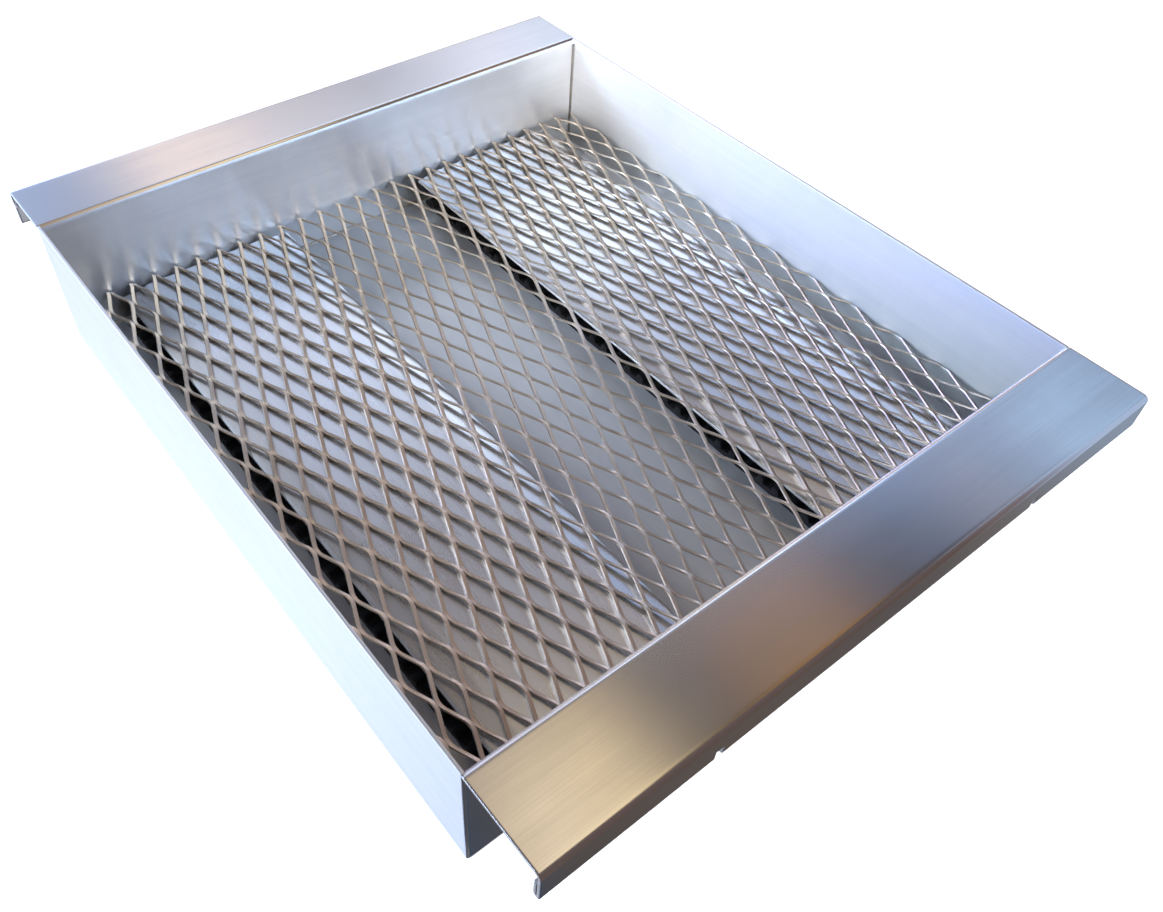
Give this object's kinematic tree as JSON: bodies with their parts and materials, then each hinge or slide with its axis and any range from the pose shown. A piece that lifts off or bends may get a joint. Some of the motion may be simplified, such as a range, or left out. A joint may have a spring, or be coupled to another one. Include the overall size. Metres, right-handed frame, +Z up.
{
  "type": "sluice box",
  "caption": "Folded stainless tray with hooked end flanges, a loose expanded-metal screen on raised plates and ribbed rubber mats below.",
  "frame": {"origin": "underside of the tray's floor, in the middle", "axes": "+Y along the tray to its rear end, +X to its right, +Z up"},
  "size_m": [0.34, 0.435, 0.072],
  "materials": {
    "brushed_stainless": "brushed",
    "weld_metal": "as welded, wire brushed",
    "screen_steel": "mill finish",
    "plate_stainless": "bright",
    "black_rubber": "matt"
  },
  "bodies": {
    "tray": {"floor_and_sides": "brushed_stainless", "front_end_panel": "brushed_stainless", "rear_end_panel": "brushed_stainless", "corner_welds": "weld_metal", "floor_welds": "weld_metal"},
    "screen": {"expanded_screen": "screen_steel"},
    "left_plate": {"left_raised_plate": "plate_stainless"},
    "right_plate": {"right_raised_plate": "plate_stainless"},
    "left_mat": {"left_rubber_mat": "black_rubber"},
    "right_mat": {"right_rubber_mat": "black_rubber"}
  },
  "joints": [
    {"name": "screen_lift", "type": "slide", "parent": "tray", "child": "screen", "axis": [0, 0, 1], "range_m": [0, 0.18]},
    {"name": "left_plate_lift", "type": "slide", "parent": "tray", "child": "left_plate", "axis": [0, 0, 1], "range_m": [0, 0.09]},
    {"name": "right_plate_lift", "type": "slide", "parent": "tray", "child": "right_plate", "axis": [0, 0, 1], "range_m": [0, 0.09]},
    {"name": "left_mat_lift", "type": "slide", "parent": "tray", "child": "left_mat", "axis": [0, 0, 1], "range_m": [0, 0.0765]},
    {"name": "right_mat_lift", "type": "slide", "parent": "tray", "child": "right_mat", "axis": [0, 0, 1], "range_m": [0, 0.0765]}
  ],
  "couplings": [
    {"joint": "left_plate_lift", "follows": "screen_lift", "ratio": 0.5},
    {"joint": "right_plate_lift", "follows": "screen_lift", "ratio": 0.5},
    {"joint": "left_mat_lift", "follows": "screen_lift", "ratio": 0.425},
    {"joint": "right_mat_lift", "follows": "screen_lift", "ratio": 0.425}
  ]
}
